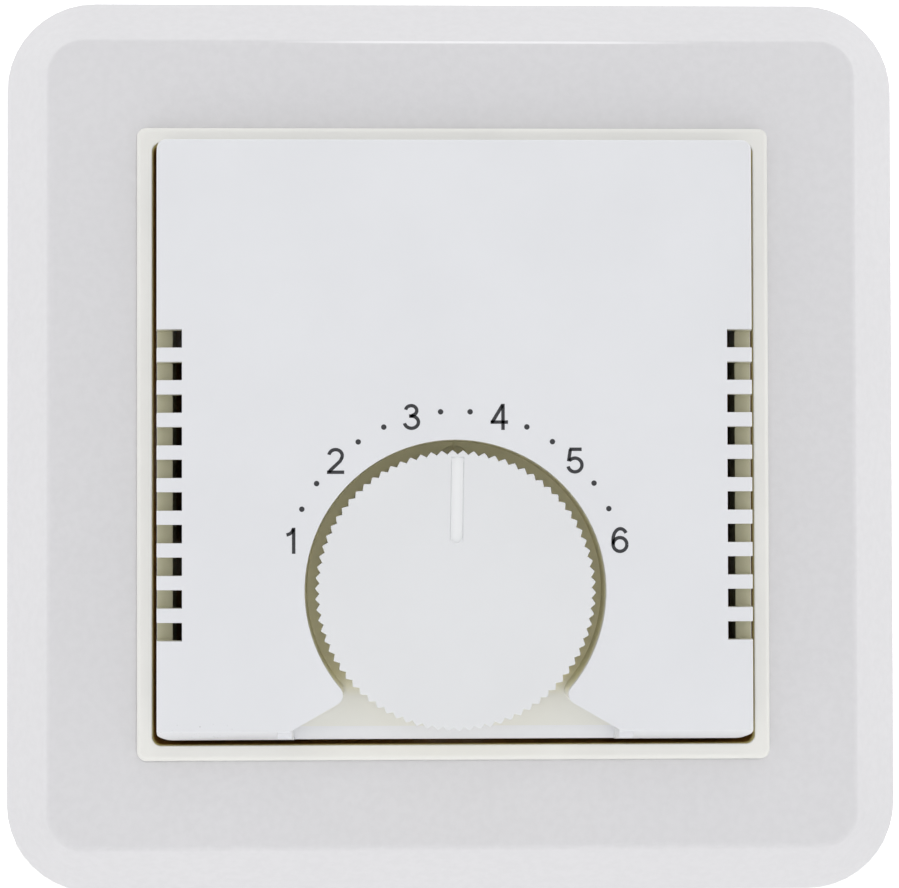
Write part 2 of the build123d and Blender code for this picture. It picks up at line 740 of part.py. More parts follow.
adjuster_tip_z = bimetal_z + bimetal_thickness / 2 + free_gap
adjuster_head_z = bracket_top_z + bracket_arm_thickness
with BuildPart() as calibration_screw:
    with BuildSketch(Plane.XY.offset(adjuster_tip_z)):
        with Locations((adjuster_x, -bimetal_middle)):
            Circle(adjuster_radius)
    extrude(amount=adjuster_head_z - adjuster_tip_z)
    with BuildSketch(Plane.XY.offset(adjuster_head_z)):
        with Locations((adjuster_x, -bimetal_middle)):
            Circle(adjuster_head_radius)
    extrude(amount=adjuster_head_thickness)
    with BuildSketch(Plane.XY.offset(adjuster_head_z + adjuster_head_thickness - small_slot_depth)):
        with Locations((adjuster_x, -bimetal_middle)):
            Rectangle(2 * adjuster_head_radius, small_slot_width)
    extrude(amount=small_slot_depth, mode=Mode.SUBTRACT)
save(calibration_screw, "calibration_screw")

# ---- Terminals: clamps and their screws, conductor strips and the heating resistor -------
with BuildPart() as terminal_clamps:
    with BuildSketch(front(terminal_foot)):
        with Locations(*[(x, terminal_z) for x in terminal_xs]):
            Rectangle(terminal_size, terminal_size)
            Circle(conductor_radius, mode=Mode.SUBTRACT)
    extrude(amount=terminal_length)
    with BuildSketch(Plane.XY.offset(terminal_z)):
        with Locations(*[(x, -terminal_screw_height) for x in terminal_xs]):
            Circle(terminal_screw_radius + fit_gap)
    extrude(amount=terminal_size / 2, mode=Mode.SUBTRACT)
save(terminal_clamps, "terminal_clamps")

screw_tip_z = terminal_z + conductor_radius
with BuildPart() as terminal_screws:
    with BuildSketch(Plane.XY.offset(screw_tip_z)):
        with Locations(*[(x, -terminal_screw_height) for x in terminal_xs]):
            Circle(terminal_screw_radius)
    extrude(amount=terminal_top_z + trim_gap - screw_tip_z)
    with BuildSketch(Plane.XY.offset(terminal_top_z + trim_gap)):
        with Locations(*[(x, -terminal_screw_height) for x in terminal_xs]):
            Circle(terminal_head_radius)
            Rectangle(2 * terminal_head_radius, small_slot_width, mode=Mode.SUBTRACT)
    extrude(amount=terminal_head_thickness)
    with BuildSketch(Plane.XY.offset(terminal_top_z + trim_gap)):
        with Locations(*[(x, -terminal_screw_height) for x in terminal_xs]):
            Circle(terminal_head_radius)
    extrude(amount=terminal_head_thickness - small_slot_depth)
save(terminal_screws, "terminal_screws")

resistor_z = strip_bottom_z + strip_width / 2
resistor_span = terminal_xs[2] - terminal_xs[1]
strip_run_z = resistor_z - strip_thickness / 2
strip_ends = [bracket_mid_x, terminal_xs[1], terminal_xs[2], -bracket_mid_x]
with BuildPart() as conductor_strips:
    for terminal_x, end_x in zip(terminal_xs, strip_ends):
        with BuildSketch(front(flange_front)):
            with Locations((terminal_x, (terminal_low_z + strip_bottom_z) / 2)):
                Rectangle(strip_width, terminal_low_z - strip_bottom_z)
            with Locations(((terminal_x + end_x) / 2, strip_run_z)):
                Rectangle(abs(end_x - terminal_x) + strip_width, strip_width - strip_thickness)
        extrude(amount=strip_thickness)
        with BuildSketch(front(terminal_foot + terminal_length / 2)):
            with Locations((terminal_x, terminal_low_z - strip_thickness / 2)):
                Rectangle(strip_width, strip_thickness)
        extrude(amount=flange_front - terminal_foot - terminal_length / 2)
save(conductor_strips, "conductor_strips")

with BuildPart() as feedback_resistor:
    with BuildSketch(Plane.YZ.offset(-resistor_length / 2)):
        with Locations((-resistor_height, resistor_z)):
            Circle(resistor_radius)
    extrude(amount=resistor_length)
    with BuildSketch(Plane.YZ.offset(-resistor_span / 2)):
        with Locations((-resistor_height, resistor_z)):
            Circle(resistor_lead_radius)
    extrude(amount=resistor_span)
    with BuildSketch(front(flange_front + strip_thickness)):
        with Locations((-resistor_span / 2, resistor_z), (resistor_span / 2, resistor_z)):
            Circle(resistor_lead_radius)
    extrude(amount=resistor_height - flange_front - strip_thickness)
save(feedback_resistor, "feedback_resistor")

# ---- Base housing: square flange on a round body, with terminal chambers and bosses ------
block_half_width = terminal_spacing * terminal_count / 2 + base_wall / 2
boss_places = [(side * rear_screw_x, rear_z) for side in (-1, 1)]
base_bore = spindle_radius + running_gap + bush_wall + fit_gap
block_foot_z = terminal_low_z - strip_thickness - base_wall

with BuildSketch() as body_outline:
    Circle(base_radius)
    with Locations((0, base_flat_z + base_radius)):
        Rectangle(2 * base_radius, 2 * base_radius, mode=Mode.SUBTRACT)

with BuildPart() as base_housing:
    with BuildSketch(front(plate_thickness)):
        RectangleRounded(flange_size, flange_size, flange_corner)
    extrude(amount=flange_thickness)
    with BuildSketch(front(-base_depth)):
        add(body_outline.sketch)
    extrude(amount=base_depth + plate_thickness)
    with BuildSketch(front(-base_depth)):
        add(body_outline.sketch)
        offset(amount=-base_wall)
    extrude(amount=base_depth + plate_thickness - base_wall / 2, mode=Mode.SUBTRACT)
    with BuildSketch(front(-base_depth)):
        with Locations((0, (block_foot_z + base_flat_z) / 2)):
            Rectangle(2 * block_half_width, base_flat_z - block_foot_z)
        add(body_outline.sketch, mode=Mode.INTERSECT)
    extrude(amount=base_depth + plate_thickness)
    with BuildSketch(front(-base_depth)):
        with Locations(*boss_places):
            Circle(small_screw_radius + boss_wall)
    extrude(amount=base_depth + plate_thickness)
    with BuildSketch(knob_front(bush_foot + free_gap)):
        Circle(base_bore + boss_wall)
    extrude(amount=plate_thickness - bush_foot)
    with BuildSketch(front(pivot_foot - boss_wall)):
        with Locations((lever_pivot_x, lever_pivot_z)):
            Circle(pivot_radius + boss_wall)
    extrude(amount=plate_thickness - pivot_foot + boss_wall)
    with BuildSketch(front(well_seat - cover_screw_length - boss_wall)):
        with Locations((cover_screw_x, cover_screw_z)):
            Circle(small_screw_radius + boss_wall)
    extrude(amount=screw_boss_top - well_seat + cover_screw_length + boss_wall)
    with BuildSketch(knob_front(bush_foot)):
        Circle(base_bore)
    extrude(amount=flange_front - bush_foot, mode=Mode.SUBTRACT)
    with BuildSketch(front(pivot_foot)):
        with Locations((lever_pivot_x, lever_pivot_z)):
            Circle(pivot_radius + fit_gap)
    extrude(amount=flange_front - pivot_foot, mode=Mode.SUBTRACT)
    with BuildSketch(front(well_seat - cover_screw_length - trim_gap)):
        with Locations((cover_screw_x, cover_screw_z)):
            Circle(small_screw_radius + fit_gap)
    extrude(amount=cover_screw_length, mode=Mode.SUBTRACT)
    with BuildSketch(front(-base_depth)):
        with Locations(*boss_places):
            Circle(small_screw_radius + fit_gap)
    extrude(amount=rear_screw_length, mode=Mode.SUBTRACT)
    with BuildSketch(front(-base_depth)):
        with Locations(*[(x, terminal_z) for x in terminal_xs]):
            Rectangle(terminal_size + 2 * trim_gap, terminal_size + 2 * trim_gap)
    extrude(amount=base_depth + terminal_foot + terminal_length + trim_gap, mode=Mode.SUBTRACT)
    with BuildSketch(front(-base_depth)):
        with Locations(*[(x, terminal_low_z - strip_thickness / 2) for x in terminal_xs]):
            Rectangle(strip_width + 2 * trim_gap, strip_thickness + 2 * trim_gap)
    extrude(amount=base_depth + flange_front, mode=Mode.SUBTRACT)
    with BuildSketch(Plane.XY.offset(terminal_z)):
        with Locations(*[(x, -terminal_screw_height) for x in terminal_xs]):
            Circle(terminal_head_radius + trim_gap)
    extrude(amount=base_radius - terminal_z, mode=Mode.SUBTRACT)
    with BuildSketch(front(plate_thickness)):
        with Locations(*rivet_places):
            Circle(rivet_radius + fit_gap)
    extrude(amount=flange_thickness, mode=Mode.SUBTRACT)
save(base_housing, "base_housing")

# ---- Rear cover over the terminals, with conductor entries, and its two screws -----------
with BuildPart() as rear_cover:
    with BuildSketch(front(-base_depth - rear_thickness)):
        add(body_outline.sketch)
        with Locations(*[(x, terminal_z) for x in terminal_xs]):
            Circle(conductor_radius + trim_gap, mode=Mode.SUBTRACT)
        with Locations(*boss_places):
            Circle(small_screw_radius + trim_gap, mode=Mode.SUBTRACT)
    extrude(amount=rear_thickness)
    fillet(rear_cover.faces().sort_by(Axis.Y)[-1].outer_wire().edges(), rear_thickness / 3)
save(rear_cover, "rear_cover")

rear_face = -base_depth - rear_thickness
with BuildPart() as rear_cover_screws:
    with BuildSketch(front(rear_face)):
        with Locations(*boss_places):
            Circle(small_screw_radius)
    extrude(amount=rear_thickness + rear_screw_length - free_gap)
    with BuildSketch(front(rear_face - small_head_thickness)):
        with Locations(*boss_places):
            Circle(small_head_radius)
    extrude(amount=small_head_thickness)
    with BuildSketch(front(rear_face - small_head_thickness)):
        with Locations(*boss_places):
            Rectangle(2 * small_head_radius, small_slot_width)
            Rectangle(small_slot_width, 2 * small_head_radius)
            Circle(small_head_radius * 2 / 3, mode=Mode.INTERSECT)
    extrude(amount=small_slot_depth, mode=Mode.SUBTRACT)
save(rear_cover_screws, "rear_cover_screws")

# ---- Cover screw: through the well in the knob recess into the base ----------------------
with BuildPart() as cover_screw:
    with BuildSketch(front(well_seat - cover_screw_length)):
        with Locations((cover_screw_x, cover_screw_z)):
            Circle(small_screw_radius)
    extrude(amount=cover_screw_length)
    with BuildSketch(front(well_seat)):
        with Locations((cover_screw_x, cover_screw_z)):
            Circle(small_head_radius)
    extrude(amount=small_head_thickness)
    with BuildSketch(front(well_seat + small_head_thickness - small_slot_depth)):
        with Locations((cover_screw_x, cover_screw_z)):
            Rectangle(2 * small_head_radius, small_slot_width)
    extrude(amount=small_slot_depth, mode=Mode.SUBTRACT)
save(cover_screw, "cover_screw")

# ---- Support plate with the box screw holes, and the rivets that hold the base to it -----
half_spacing = box_screw_spacing / 2
rivet_sink_depth = (rivet_head_radius - rivet_radius) / tan(radians(rivet_sink_angle))

with BuildSketch() as plate_opening:
    add(body_outline.sketch)
    offset(amount=free_gap)

with BuildPart() as support_plate:
    with BuildSketch(front(0)):
        RectangleRounded(plate_size, plate_size, plate_corner)
        add(plate_opening.sketch, mode=Mode.SUBTRACT)
        with Locations((-half_spacing, 0), (half_spacing, 0)):
            Circle(box_screw_radius, mode=Mode.SUBTRACT)
        with Locations((0, -half_spacing), (0, half_spacing)):
            SlotCenterToCenter(box_slot_length, 2 * box_screw_radius, mode=Mode.SUBTRACT)
        with Locations(*rivet_places):
            Circle(rivet_radius + fit_gap, mode=Mode.SUBTRACT)
    extrude(amount=plate_thickness)
    with BuildSketch(front(0)):
        with Locations(*rivet_places):
            Circle(rivet_head_radius + fit_gap)
    extrude(amount=rivet_sink_depth, taper=rivet_sink_angle, mode=Mode.SUBTRACT)
save(support_plate, "support_plate")

with BuildPart() as plate_rivets:
    with BuildSketch(front(0)):
        with Locations(*rivet_places):
            Circle(rivet_radius)
    extrude(amount=flange_front)
    with BuildSketch(front(0)):
        with Locations(*rivet_places):
            Circle(rivet_head_radius)
    extrude(amount=rivet_sink_depth, taper=rivet_sink_angle)
    with BuildSketch(front(flange_front)):
        with Locations(*rivet_places):
            Circle(rivet_head_radius)
    extrude(amount=rivet_head_thickness)
save(plate_rivets, "plate_rivets")
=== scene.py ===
"""Looks of a flush-mounted room thermostat, laid out as an add-on and run as a script."""

import bmesh
import bpy
import numpy as np
from bpy.props import FloatProperty, FloatVectorProperty, IntProperty, PointerProperty
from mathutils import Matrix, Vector
from mathutils.geometry import tessellate_polygon


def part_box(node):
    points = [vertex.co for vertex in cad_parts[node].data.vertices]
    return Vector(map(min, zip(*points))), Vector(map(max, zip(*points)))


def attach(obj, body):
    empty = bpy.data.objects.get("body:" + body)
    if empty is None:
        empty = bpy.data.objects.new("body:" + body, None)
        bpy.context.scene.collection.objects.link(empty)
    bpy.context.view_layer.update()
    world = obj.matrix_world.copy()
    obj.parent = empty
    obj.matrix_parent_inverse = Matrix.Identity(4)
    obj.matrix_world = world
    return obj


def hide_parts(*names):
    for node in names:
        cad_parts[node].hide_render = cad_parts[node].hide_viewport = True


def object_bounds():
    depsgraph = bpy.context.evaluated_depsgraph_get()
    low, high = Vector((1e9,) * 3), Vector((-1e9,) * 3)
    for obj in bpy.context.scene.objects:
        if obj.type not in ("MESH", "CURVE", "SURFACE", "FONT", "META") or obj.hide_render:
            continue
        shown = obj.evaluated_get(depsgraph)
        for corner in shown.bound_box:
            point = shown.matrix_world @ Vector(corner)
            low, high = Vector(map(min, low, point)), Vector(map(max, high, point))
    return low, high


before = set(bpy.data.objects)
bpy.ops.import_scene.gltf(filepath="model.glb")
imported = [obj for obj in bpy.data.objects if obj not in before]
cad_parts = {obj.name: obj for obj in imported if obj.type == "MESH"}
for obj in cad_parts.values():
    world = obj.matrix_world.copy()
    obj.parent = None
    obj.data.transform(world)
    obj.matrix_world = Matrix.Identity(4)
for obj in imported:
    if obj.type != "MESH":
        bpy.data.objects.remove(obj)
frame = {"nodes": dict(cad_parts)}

bl_info = {
    "name": "Room thermostat",
    "version": (1, 0, 0),
    "blender": (4, 5, 0),
    "location": "3D View > Sidebar > Thermostat",
    "description": "Builds the trim, knob and printed scale of a flush-mounted room thermostat",
    "category": "Add Mesh",
}

MM = 0.001
CAD_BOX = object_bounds()
FRAME_LOW, FRAME_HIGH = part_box("outer_frame")
COVER_LOW, COVER_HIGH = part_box("cover")
KNOB_LOW, KNOB_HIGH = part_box("knob")
KNOB_Z = (KNOB_LOW.z + KNOB_HIGH.z) / 2
COVER_FRONT = -COVER_LOW.y
RING_FRONT = -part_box("adapter_ring")[0].y
RING_OPENING = COVER_HIGH.x + 1.0 * MM  # half the clear opening, with its edge
RECESS_RADIUS = KNOB_HIGH.z - KNOB_Z + 0.89 * MM
COVER_FLARE = 0.3 * MM  # lean of each side of the cover, from the face out
FLARE_DEPTH = 2.2 * MM  # depth below the face that the lean ends at
INK_THICKNESS = 0.012 * MM


# ---- Sizes and colours that a user would change -------------------------------------------
def length(name, description, default):
    """A length property, in metres."""
    return FloatProperty(name=name, description=description, default=default, unit="LENGTH")


def angle(name, description, degrees):
    """An angle property, with its default given in degrees."""
    return FloatProperty(
        name=name, description=description, default=np.radians(degrees), subtype="ANGLE"
    )


def colour(name, description, default):
    """A linear colour property."""
    return FloatVectorProperty(
        name=name, description=description, default=default, size=3, min=0, max=1, subtype="COLOR"
    )


class ThermostatSizes(bpy.types.PropertyGroup):
    """Sizes of the trim, the knob and the print."""

    frame_bevel: length("Border bevel", "Width of the frame's sloping border", 4.8 * MM)
    frame_edge: length("Border edge height", "Height of the frame's upright edge", 2.6 * MM)
    frame_corner: length("Frame corner", "Corner radius of the frame's outline", 8.0 * MM)
    frame_ridge_corner: length("Ridge corner", "Corner radius where the bevel ends", 3.0 * MM)
    frame_wall: length("Frame wall", "Thickness of the frame's shell", 1.6 * MM)
    frame_aperture: length("Aperture", "Side of the frame's square opening", 55.3 * MM)
    ring_shoulder: length("Ring shoulder", "Height where the ring rests on the frame", 6.0 * MM)
    knob_teeth: IntProperty(name="Teeth", description="Teeth around the knob", default=82, min=8)
    tooth_depth: length("Tooth depth", "Depth of the knob's teeth", 0.34 * MM)
    knob_setting: angle("Setting", "Clockwise turn of the pointer from the scale's middle", 1.0)
    pointer_width: length("Pointer width", "Width of the pointer groove", 1.06 * MM)
    pointer_inner: length("Pointer start", "Distance of the groove's end from the axis", 4.04 * MM)
    pointer_outer: length("Pointer end", "Distance of the groove's mouth from the axis", 11.27 * MM)
    pointer_depth: length("Pointer depth", "Depth of the pointer groove", 0.25 * MM)
    numeral_height: length("Numeral height", "Height of the printed numerals", 2.2 * MM)
    pen_width: length("Pen width", "Width of the numerals' strokes", 0.29 * MM)
    dot_size: length("Dot size", "Diameter of the printed dots", 0.46 * MM)
    scale_radius: length("Scale radius", "Radius of the printed scale", 14.3 * MM)
    scale_rise: length("Scale rise", "Height of the scale's centre above the knob", 0.85 * MM)
    numeral_step: angle("Numeral step", "Angle from one numeral to the next", 30.0)
    outer_shift: angle("Outer shift", "Extra angle of the first and last numerals", 1.3)
    dot_offset: angle("Dot offset", "Angle of each dot from the middle between numerals", 5.0)


class ThermostatColours(bpy.types.PropertyGroup):
    """Base colours of the mouldings and the print, and tones of painted light and shade."""

    frame: colour("Frame", "Colour of the outer frame", (0.74, 0.735, 0.755))
    ring: colour("Ring", "Colour of the adapter ring", (0.86, 0.855, 0.82))
    cover: colour("Cover", "Colour of the cover", (0.80, 0.81, 0.84))
    knob: colour("Knob", "Colour of the knob", (0.795, 0.805, 0.825))
    # Painted highlight: a lighter, warmer tone for the light on the knob's toothed side.
    knob_side_highlight: colour("Knob side", "Warmer tone of the knob's toothed side", (0.95, 0.925, 0.82))
    pointer: colour("Pointer", "Colour of the pointer groove", (0.90, 0.91, 0.92))
    # Painted shade: an olive tone standing in for the warm shade round the knob.
    recess: colour("Recess", "Olive tone of the plastic round the knob", (0.98, 0.935, 0.66))
    # Painted shade: a creamy tone standing in for the shade in the thumb notch.
    notch: colour("Notch", "Creamy tone of the thumb notch", (0.80, 0.80, 0.76))
    # Painted shade: a dark olive tone standing in for the shade in the slots.
    slot: colour("Slot", "Olive tone of the plastic in the slots", (0.56, 0.54, 0.38))
    # Painted light: a yellow tone standing in for warm light at the top of the ring's inner walls.
    rim: colour("Rim", "Yellow tone at the top of the ring's inner walls", (0.86, 0.78, 0.34))
    # Painted shade: a brown tone standing in for the deep shade between cover and ring.
    gap: colour("Gap", "Tone of the hidden sides between cover and ring", (0.42, 0.22, 0.04))
    ink: colour("Ink", "Colour of the printed scale", (0.03, 0.031, 0.036))


# ---- Surfaces -----------------------------------------------------------------------------
def new_piece(name, points, faces, smooth=True):
    """A mesh object made from an array of points and an array or list of faces."""
    mesh = bpy.data.meshes.new(name)
    mesh.from_pydata(np.asarray(points).reshape(-1, 3), [], [tuple(f) for f in faces])
    mesh.validate()
    if smooth:
        mesh.shade_smooth()
    piece = bpy.data.objects.new(name, mesh)
    bpy.context.scene.collection.objects.link(piece)
    return piece


def grid_faces(rows, columns, close_rows=False):
    """Quads between rows that are closed loops, and from the last row to the first if asked."""
    down = np.arange(rows if close_rows else rows - 1)[:, None]
    across = np.arange(columns)[None, :]
    below = (down + 1) % rows
    beside = (across + 1) % columns
    corners = [
        down * columns + across,
        down * columns + beside,
        below * columns + beside,
        below * columns + across,
    ]
    return np.stack(corners, axis=-1).reshape(-1, 4)


def soft_profile(points, radii, steps=4):
    """A closed polyline whose corners are arcs.

    An arc of radius r in a corner of half angle a starts r / tan(a) along each side, and its
    centre lies r / sin(a) along the bisector.
    """
    points = np.asarray(points, float)
    out = []
    for i, (corner, radius) in enumerate(zip(points, radii)):
        back = points[i - 1] - corner
        ahead = points[(i + 1) % len(points)] - corner
        back /= np.linalg.norm(back)
        ahead /= np.linalg.norm(ahead)
        half = np.arccos(np.clip(back @ ahead, -1, 1)) / 2
        centre = corner + (back + ahead) / np.linalg.norm(back + ahead) * radius / np.sin(half)
        first = corner + back * radius / np.tan(half) - centre
        last = corner + ahead * radius / np.tan(half) - centre
        t = np.linspace(0, 1, steps + 1)[:, None]
        sweep = np.pi - 2 * half
        arc = (np.sin((1 - t) * sweep) * first + np.sin(t * sweep) * last) / np.sin(sweep)
        out.append(centre + arc)
    return np.concatenate(out)


def rounded_squares(half, radius, height, steps=10):
    """One rounded square for each entry of the three arrays, seen from the front.

    A point of a corner is the corner's centre plus the radius times (cos a, sin a), with a
    running through a quarter turn in each corner in turn.
    """
    quarter = np.arange(4)[:, None] * np.pi / 2
    angle = (quarter + np.linspace(0, np.pi / 2, steps + 1)[None, :]).ravel()
    side_x = np.repeat([1, -1, -1, 1], steps + 1)
    side_z = np.repeat([1, 1, -1, -1], steps + 1)
    half, radius, height = (values[:, None] for values in (half, radius, height))
    x = side_x * (half - radius) + radius * np.cos(angle)
    z = side_z * (half - radius) + radius * np.sin(angle)
    return np.stack([x, -height + 0 * x, z], axis=-1)


def square_sweep(name, half, profile, corner_insets, corner_radii):
    """A profile of (inset, height) carried round a square, closed on itself."""
    inset, height = profile.T
    radius = np.interp(inset, corner_insets, corner_radii)
    points = rounded_squares(half - inset, radius, height)
    return new_piece(name, points, grid_faces(*points.shape[:2], close_rows=True))


def face_outwards(piece):
    """Merge doubles and turn every face of a closed piece outwards."""
    mesh = bmesh.new()
    mesh.from_mesh(piece.data)
    bmesh.ops.remove_doubles(mesh, verts=mesh.verts, dist=1e-7)
    bmesh.ops.recalc_face_normals(mesh, faces=mesh.faces)
    mesh.to_mesh(piece.data)
    mesh.free()


def weigh_normals(piece):
    """Let the large flat faces rule the shading beside narrow rounded edges."""
    modifier = piece.modifiers.new("Flat faces rule", "WEIGHTED_NORMAL")
    modifier.keep_sharp = True
    modifier.weight = 100


def cad_copy(node, name, edge_radius):
    """A copy of a CAD node with its flat faces joined and its sharp edges rounded."""
    mesh = bmesh.new()
    mesh.from_mesh(frame["nodes"][node].data)
    bmesh.ops.remove_doubles(mesh, verts=mesh.verts, dist=1e-6)
    bmesh.ops.dissolve_limit(
        mesh, angle_limit=np.radians(0.5), verts=mesh.verts, edges=mesh.edges
    )
    data = bpy.data.meshes.new(name)
    mesh.to_mesh(data)
    mesh.free()
    data.materials.clear()
    data.shade_smooth()
    piece = bpy.data.objects.new(name, data)
    bpy.context.scene.collection.objects.link(piece)
    bevel = piece.modifiers.new("Soft edges", "BEVEL")
    bevel.width = edge_radius
    bevel.segments = 2
    bevel.limit_method = "ANGLE"
    bevel.angle_limit = np.radians(35)
    bevel.use_clamp_overlap = True
    weigh_normals(piece)
    return piece


def toothed_rows(rows, size, samples=16, crest=0.08):
    """Rows of (radius, height, share of the tooth depth) carried round the knob's axis.

    A point's radius is its row's radius less that share of the tooth's depth at its angle. The
    depth at an angle is (hypot(w, crest) - crest) / (hypot(1, crest) - crest), with w falling
    from 1 in a valley to 0 at a crest, so flanks are straight and crests a little rounded.
    """
    step = np.arange(size.knob_teeth * samples)
    angle = step * 2 * np.pi / len(step) + size.knob_setting
    wave = np.abs(2 * (step / samples % 1) - 1)
    fall = (np.hypot(wave, crest) - crest) / (np.hypot(1, crest) - crest)
    radius, height, share = np.array(rows).T[:, :, None]
    reach = radius - share * size.tooth_depth * fall
    across, up = reach * np.sin(angle), KNOB_Z + reach * np.cos(angle)
    return np.stack([across, -height + 0 * reach, up], axis=-1)


def groove_loops(size, lip=0.06 * MM):
    """Outlines of the pointer groove, from the face down to its floor.

    Each is two straight sides, a half circle at the inner end and a square mouth, spread by the
    lip's width at the face and drawn in by it at the floor, and turned by the knob's setting.
    """
    half = size.pointer_width / 2
    inner = size.pointer_inner + half
    outer = size.pointer_outer
    depth = size.pointer_depth
    bend = np.linspace(0, np.pi, 13)
    outline_x = np.concatenate([[half], half * np.cos(bend), [-half]])
    outline_r = np.concatenate([[outer], inner - half * np.sin(bend), [outer]])
    loops = []
    for spread, drop in (
        (lip, 0),
        (0.3 * lip, 0.3 * lip),
        (0, lip),
        (0, depth - lip),
        (-0.3 * lip, depth - 0.3 * lip),
        (-lip, depth),
    ):
        grow = (half + spread) / half
        x = outline_x * grow
        r = np.where(outline_r < inner, inner + (outline_r - inner) * grow, outline_r)
        r = np.where(outline_r >= outer, outline_r + spread, r)
        across = x * np.cos(size.knob_setting) + r * np.sin(size.knob_setting)
        along = r * np.cos(size.knob_setting) - x * np.sin(size.knob_setting)
        loops.append(np.stack([across, drop - COVER_FRONT + 0 * x, KNOB_Z + along], axis=-1))
    return np.array(loops)


# ---- Numerals, in units of their height, with the origin at the lower left -----------------
def bow(middle, radii, start, end):
    """Part of an ellipse: its middle plus radii times (cos a, sin a), from start to end degrees."""
    angle = np.radians(np.linspace(start, end, 2 + int(abs(end - start) / 10)))
    return np.stack([np.cos(angle), np.sin(angle)], axis=-1) * radii + middle


def numeral_strokes(pen):
    """Centre lines of the numerals 1 to 6 for an even pen."""
    half = pen / 2
    top = 1 - half
    bowl = 0.33 - half
    belly = (0.33, 0.33)
    return {
        1: [[(0.33, 0), (0.33, 1)], bow((0.0, 0.99), (0.32, 0.27), -80, -8)],
        2: [
            bow((0.33, 0.705), (0.32 - half, 0.295 - half), 172, -28),
            [(0.573, 0.62), (0.50, 0.49), (0.29, 0.29), (0.14, 0.15), (0.075, half)],
            [(0.0, half), (0.66, half)],
        ],
        3: [
            bow((0.30, 0.745), (0.28 - half, 0.255 - half), 170, -85),
            bow((0.31, 0.30), (0.335 - half, 0.30 - half), 100, -170),
            [(0.22, 0.535), (0.36, 0.535)],
        ],
        4: [[(0.48, 0), (0.48, 1)], [(0, 0.30), (0.67, 0.30)], [(0.05, 0.27), (0.46, 0.95)]],
        5: [
            [(0.12, top), (0.59, top)],
            [(0.155, top), (0.085, 0.47)],
            bow(belly, (bowl + 0.005, bowl), 142, -168),
        ],
        6: [
            bow(belly, (bowl, bowl), 0, 360),
            bow((0.345, 0.51), (0.345 - half, top - 0.51), 38, 180),
            [(half, 0.53), (half, 0.33)],
        ],
    }


def pen_strokes(strokes, pen):
    """Points and faces of even ribbons along centre lines, cut square at their ends."""
    points, faces = [], []
    start = 0
    for line in strokes:
        line = np.asarray(line, float)
        ahead = np.gradient(line, axis=0)
        ahead /= np.linalg.norm(ahead, axis=1)[:, None]
        beside = np.stack([-ahead[:, 1], ahead[:, 0]], axis=-1) * pen / 2
        points.append(np.stack([line + beside, line - beside], axis=1).reshape(-1, 2))
        faces += [
            (start + 2 * i + 1, start + 2 * i + 3, start + 2 * i + 2, start + 2 * i)
            for i in range(len(line) - 1)
        ]
        start += 2 * len(line)
    return np.concatenate(points), faces


